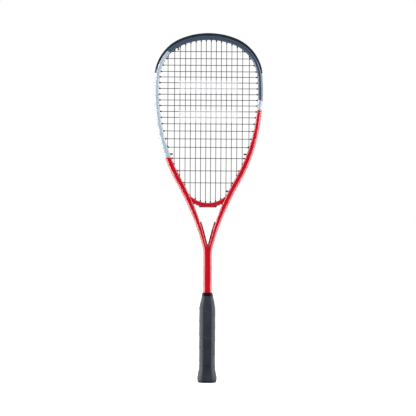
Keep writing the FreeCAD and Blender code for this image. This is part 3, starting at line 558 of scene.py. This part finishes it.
def makeGuardShell():
    # the bumper's skirts: a cover clipped over the outer side of the hoop
    bm = bmesh.new()
    (crownRadius, crownTurn, crownSteps), (shoulderRadius, *_) = hoop["turns"][:2]
    crownCentre = Vector((0, 0, tubeHigh.z - crownRadius))
    shoulderCentre = crownCentre - inward(math.radians(crownTurn)) * (crownRadius - shoulderRadius)
    last = math.degrees(math.acos((guard["end"] - shoulderCentre.z) / shoulderRadius))
    outer = bm.verts.new((0, 0, tubeHigh.z))
    inner = bm.verts.new((0, 0, tubeHigh.z - guard["inside"]))
    edge = bm.edges.new((outer, inner))
    rungs = [(outer, 0.0)]
    for centre, begin, end, steps in ((crownCentre, 0.0, crownTurn, crownSteps),
                                      (shoulderCentre, crownTurn, last, guard["steps"])):
        for step in range(steps):
            edge, outer, inner = growRung(bm, edge, outer, inner)
            turn = Matrix.Rotation(math.radians((end - begin) / steps), 3, "Y")
            bmesh.ops.rotate(bm, verts=[outer, inner], cent=centre, matrix=turn)
            rungs.append((outer, math.radians(begin + (end - begin) * (step + 1) / steps)))
    for vert, heading in rungs:
        taper = min(1.0, guard["endShare"] + (math.radians(last) - heading) / guard["taper"])
        vert.co -= inward(heading) * (guard["grow"] + guard["lift"] * math.cos(heading)) * taper
    mirrorHalf(bm)
    thicken(bm, guard["depth"])
    roundRims(bm, guard["depth"], guard["rounding"], guard["roundingSteps"])

    def outerWall():
        return [face for face in bm.faces if abs(face.normal.y) < 0.3
                and face.normal.dot((face.calc_center_median() - headMiddle).normalized()) > 0.6]

    sinkChannel(bm, outerWall, guard["channelHalf"], guard["channelDepth"])
    makePiece("guardShell", bm, guardNylon)


makeGuardShell()
print("frame tube made")

bridge = {
    "top": 0.353, "radius": 0.050, "thick": 0.0084, "depth": 0.016, "rounding": 0.0026, "roundingSteps": 5,
    "halfWidth": 0.0385, "steps": 44,
    # the fillets at its ends: where they start, are deepest and end, how deep, and how fast they grow
    "webStart": 0.0235, "webTop": 0.0305, "webEnd": 0.0450, "webDrop": 0.0058, "webPower": 2.4,
}


def makeBridge():
    bm = bmesh.new()
    centre = Vector((0, 0, bridge["top"] + bridge["radius"]))
    start = math.asin(bridge["halfWidth"] / bridge["radius"])
    upper = bm.verts.new(centre - Vector((0, 0, bridge["radius"])))
    lower = bm.verts.new(centre - Vector((0, 0, bridge["radius"] + bridge["thick"])))
    edge = bm.edges.new((upper, lower))
    bmesh.ops.rotate(bm, verts=[upper, lower], cent=centre, matrix=Matrix.Rotation(start, 3, "Y"))
    bmesh.ops.spin(bm, geom=[upper, lower, edge], cent=centre, axis=(0, 1, 0), angle=-2 * start,
                   steps=bridge["steps"], use_duplicate=False)
    for vert in bm.verts:
        # the underside runs down into the arms in a fillet
        out = abs(vert.co.x)
        rising = max(0.0, out - bridge["webStart"]) / (bridge["webTop"] - bridge["webStart"])
        falling = max(0.0, (bridge["webEnd"] - out) / (bridge["webEnd"] - bridge["webTop"]))
        radius = math.hypot(vert.co.x, vert.co.z - centre.z)
        if radius > bridge["radius"] + bridge["thick"] / 2:
            vert.co.z -= bridge["webDrop"] * (rising ** bridge["webPower"] if rising < 1 else falling)
    thicken(bm, bridge["depth"])
    roundRims(bm, bridge["depth"], bridge["rounding"], bridge["roundingSteps"])
    piece = makePiece("bridgeBar", bm, lacquer)
    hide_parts("throat_bridge")
    return piece


makeBridge()

lip = {"halfWidth": 0.0172, "low": 0.3442, "high": 0.3500, "depth": 0.0104, "rounding": 0.0009,
       "roundingSteps": 3}


def makeBridgeLip():
    # the part of the grommet strip that stands out under the bridge, flat below
    bm = bmesh.new()
    bmesh.ops.create_grid(bm, x_segments=12, y_segments=2, size=1)
    bmesh.ops.scale(bm, verts=bm.verts, vec=(lip["halfWidth"], lip["depth"] / 2, 1))
    bmesh.ops.translate(bm, verts=bm.verts, vec=(0, 0, lip["low"]))
    grown = bmesh.ops.extrude_face_region(bm, geom=bm.faces[:])["geom"]
    bmesh.ops.translate(bm, verts=vertsIn(grown), vec=(0, 0, lip["high"] - lip["low"]))
    bmesh.ops.recalc_face_normals(bm, faces=bm.faces)
    corners = [edge for edge in bm.edges
               if len(edge.link_faces) == 2 and edge.calc_face_angle() > cornerAngle]
    bevelEdges(bm, corners, lip["rounding"], lip["roundingSteps"])
    makePiece("bridgeStripLip", bm, grommetNylon)


makeBridgeLip()
print("bridge made")

grip = {
    # outside of the grip: height, width, depth and corner bevel
    "stations": [(0.0034, 0.0372, 0.0316, 0.0082), (0.0055, 0.0384, 0.0328, 0.0084),
                 (0.0085, 0.0389, 0.0332, 0.0085), (0.0120, 0.0386, 0.0330, 0.0085),
                 (0.0170, 0.0366, 0.0314, 0.0081), (0.0240, 0.0340, 0.0290, 0.0075),
                 (0.0310, 0.0321, 0.0272, 0.0071), (0.0400, 0.0319, 0.0270, 0.0070),
                 (0.1000, 0.0323, 0.0272, 0.0071), (0.1400, 0.0322, 0.0272, 0.0070),
                 (0.1480, 0.0318, 0.0271, 0.0069), (0.1560, 0.0290, 0.0262, 0.0063),
                 (0.1630, 0.0258, 0.0250, 0.0056), (0.1705, 0.0222, 0.0235, 0.0042),
                 (0.1768, 0.0192, 0.0214, 0.0032)],
    "around": 96, "rows": 230, "seedRadius": 0.015, "softness": 0.0022, "softShare": 0.55,
    "pitch": 0.0255, "ridge": 0.0004, "fade": 0.004, "tape": 0.0012,
    # along one turn, as shares of the pitch: the step at its lower edge, and the lip beside it
    "stepAt": 0.03, "stepSoft": 0.012, "fallPower": 1.3, "lipAt": 0.06, "lipWidth": 0.05, "lipShare": 0.45,
    "girth": 0.094, "pinHoles": 0.0034, "pinSlant": 0.27,
}


def stationAt(z):
    stations = grip["stations"]
    z = min(max(z, stations[0][0]), stations[-1][0])
    for before, after in zip(stations, stations[1:]):
        if z <= after[0]:
            share = (z - before[0]) / (after[0] - before[0])
            return [a + (b - a) * share for a, b in zip(before, after)]
    return list(stations[-1])


def gripRadius(angle, z):
    # distance from the axis to the eight-sided section, its corners softened
    height, width, depth, bevel = stationAt(z)
    halfX, halfY, softness = width / 2, depth / 2, grip["softness"]
    c, s = abs(math.cos(angle)), abs(math.sin(angle))
    distances = [halfX / max(c, 1e-6), halfY / max(s, 1e-6), (halfX + halfY - bevel) / (c + s)]
    nearest = min(distances)
    total = sum(math.exp(-(d - nearest) / softness) for d in distances)
    return nearest - softness * math.log(total) * grip["softShare"]


def ridgeHeight(phase):
    # each turn of tape laps the one below: a quick step up at its lower edge, then a slow fall
    step = 1 / (1 + math.exp(-(phase - grip["stepAt"]) / grip["stepSoft"]))
    lipRise = grip["lipShare"] * math.exp(-((phase - grip["lipAt"]) / grip["lipWidth"]) ** 2)
    return grip["ridge"] * (step * (1 - phase) ** grip["fallPower"] + lipRise)


def makeGrip():
    bm = bmesh.new()
    low, high = grip["stations"][0][0], gripTop
    ring = bmesh.ops.create_circle(bm, segments=grip["around"], radius=grip["seedRadius"])["verts"]
    bmesh.ops.translate(bm, verts=ring, vec=(0, 0, low))
    edges = bm.edges[:]
    for row in range(grip["rows"]):
        grown = bmesh.ops.extrude_edge_only(bm, edges=edges)["geom"]
        verts = vertsIn(grown)
        edges = [item for item in grown if isinstance(item, bmesh.types.BMEdge)
                 and all(vert in verts for vert in item.verts)]
        bmesh.ops.translate(bm, verts=verts, vec=(0, 0, (high - low) / grip["rows"]))
    lay = bm.verts.layers.float_vector.new("wrap")
    seam = bm.verts.layers.float.new("seam")
    for vert in bm.verts:
        angle = math.atan2(vert.co.y, vert.co.x)
        z = vert.co.z
        turns = (z - low) / grip["pitch"] + angle / (2 * math.pi)
        phase = turns % 1.0
        fade = min(1.0, (z - low) / grip["fade"], (high - z) / grip["fade"])
        radius = gripRadius(angle, z) + ridgeHeight(phase) * fade - grip["ridge"]
        vert.co.x = radius * math.cos(angle)
        vert.co.y = radius * math.sin(angle)
        along = (angle / (2 * math.pi)) * grip["girth"] / grip["pinHoles"]
        vert[lay] = (along, (z - low) / grip["pinHoles"] + along * grip["pinSlant"], 0.0)
        vert[seam] = phase
    piece = makePiece("gripTape", bm, gripSkin, sharpDegrees=None)
    thickness = piece.modifiers.new("tapeThickness", "SOLIDIFY")
    thickness.thickness = grip["tape"]
    thickness.offset = -1
    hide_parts("grip_wrap")
    return piece


makeGrip()
print("grip made")

stage = {
    "floor": 30.0, "floorGlow": 0.55,
    # glow of the cove by how far a direction points along Y: edge, side and front
    "edgeGlow": 0.7, "edgeTo": 0.10, "sideGlow": 1.6, "sideFrom": 0.22, "sideTo": 0.58,
    "frontGlow": 0.05, "frontFrom": 0.82,
    "endsFrom": 0.5, "endsTo": 0.85, "endsGlow": 0.3,  # share that is left overhead and below
}


def makeStage():
    material, tree, shader, place = newMaterial("paleFloor", Roughness=0.9, Emission_Color=grey(1.0),
                                                Emission_Strength=stage["floorGlow"])
    speck = addNode(tree, "ShaderNodeTexNoise", {"Vector": place}, in_Scale=40.0)
    colours = addNode(tree, "ShaderNodeValToRGB", {"Fac": speck.outputs["Fac"]},
                      [(0.2, linear("#f6f6f6")), (0.8, linear("#fdfdfd"))])
    tree.links.new(colours.outputs["Color"], shader.inputs["Base Color"])
    bm = bmesh.new()
    bmesh.ops.create_grid(bm, x_segments=1, y_segments=1, size=stage["floor"])
    mesh = bpy.data.meshes.new("floor")
    bm.to_mesh(mesh)
    bm.free()
    mesh.materials.append(material)
    floor = bpy.data.objects.new("floor", mesh)
    bpy.context.scene.collection.objects.link(floor)
    floor.visible_diffuse = False  # the cove's light alone falls on the racket
    floor.visible_glossy = False


def makeCove():
    # a white cove: bright at both sides, dimmer overhead, in front and behind, and plain white to the camera
    world = bpy.data.worlds.new("studio")
    bpy.context.scene.world = world
    world.use_nodes = True
    tree = world.node_tree
    background = tree.nodes["Background"]
    direction = addNode(tree, "ShaderNodeTexCoord").outputs["Generated"]
    split = addNode(tree, "ShaderNodeSeparateXYZ", {0: direction})
    forward = addNode(tree, "ShaderNodeMath", {0: split.outputs["Y"]}, operation="ABSOLUTE")
    edge, side, front = grey(stage["edgeGlow"]), grey(stage["sideGlow"]), grey(stage["frontGlow"])
    glow = addNode(tree, "ShaderNodeValToRGB", {"Fac": forward.outputs[0]},
                   [(0.0, edge), (stage["edgeTo"], edge), (stage["sideFrom"], side), (stage["sideTo"], side),
                    (stage["frontFrom"], front), (1.0, front)])
    upright = addNode(tree, "ShaderNodeMath", {0: split.outputs["Z"]}, operation="ABSOLUTE")
    ends = addNode(tree, "ShaderNodeMapRange", {"Value": upright.outputs[0]}, in_From_Min=stage["endsFrom"],
                   in_From_Max=stage["endsTo"], in_To_Min=1.0, in_To_Max=stage["endsGlow"])
    dimmed = addNode(tree, "ShaderNodeMix", {6: glow.outputs["Color"], 7: ends.outputs[0]},
                     data_type="RGBA", blend_type="MULTIPLY", in_Factor=1.0)
    seen = addNode(tree, "ShaderNodeLightPath").outputs["Is Camera Ray"]
    shown = addNode(tree, "ShaderNodeMix", {"Factor": seen, 6: dimmed.outputs[2]}, data_type="RGBA",
                    in_7=grey(1.0))
    tree.links.new(shown.outputs[2], background.inputs["Color"])
    background.inputs["Strength"].default_value = 1.0


lamps = {
    "aside": 1.5, "height": 0.45, "aim": (0, 0, 0.4),
    "boxAt": 0.62, "boxSize": (0.7, 1.8), "boxPower": {-1: 8.2, 1: 5.8},
    "frontAt": -1.0, "frontSize": (0.35, 1.8), "frontPower": {-1: 15.6, 1: 10.8},
    "backAt": 0.95, "backSize": (0.3, 1.8), "backPower": {-1: 9.1, 1: 6.3},
}


def addArea(name, side, depth, size, power):
    # a white soft box beside the racket, aimed at its middle
    light = bpy.data.lights.new(name, "AREA")
    light.shape = "RECTANGLE"
    light.size, light.size_y = size
    light.energy = power
    lamp = bpy.data.objects.new(name, light)
    lamp.location = (side * lamps["aside"], depth, lamps["height"])
    lamp.rotation_euler = (Vector(lamps["aim"]) - lamp.location).to_track_quat("-Z", "Y").to_euler()
    lamp.visible_camera = False
    bpy.context.scene.collection.objects.link(lamp)
    return lamp


def makeLamps():
    for side in (-1, 1):
        for back in (-1, 1):
            # tall soft boxes that show only as reflections along the tube
            gloss = addArea("edgeBox%d%d" % (side, back), side, back * lamps["boxAt"], lamps["boxSize"],
                            lamps["boxPower"][side])
            gloss.visible_diffuse = False
    for side in (-1, 1):
        addArea("frontStrip%d" % side, side, lamps["frontAt"], lamps["frontSize"], lamps["frontPower"][side])
        addArea("backStrip%d" % side, side, lamps["backAt"], lamps["backSize"], lamps["backPower"][side])


# across is the width of the view in metres at the racket
shot = {"lens": 220, "sensor": 36, "across": 0.817, "aside": 0.0002, "roll": 0.33}


def makeCamera():
    camera = bpy.data.cameras.new("camera")
    camera.lens = shot["lens"]
    camera.sensor_width = shot["sensor"]
    camera.sensor_fit = "HORIZONTAL"
    distance = shot["across"] * shot["lens"] / shot["sensor"]
    place = Matrix.Translation((shot["aside"], -distance, (guardTop + capFoot) / 2))
    aim = Matrix.Rotation(math.radians(90), 4, "X")
    roll = Matrix.Rotation(math.radians(shot["roll"]), 4, "Z")
    body = bpy.data.objects.new("camera", camera)
    body.matrix_world = place @ aim @ roll
    bpy.context.scene.collection.objects.link(body)
    bpy.context.scene.camera = body


makeStage()
makeCove()
makeLamps()
makeCamera()
bpy.context.scene.view_settings.view_transform = "Standard"
print("stage set")
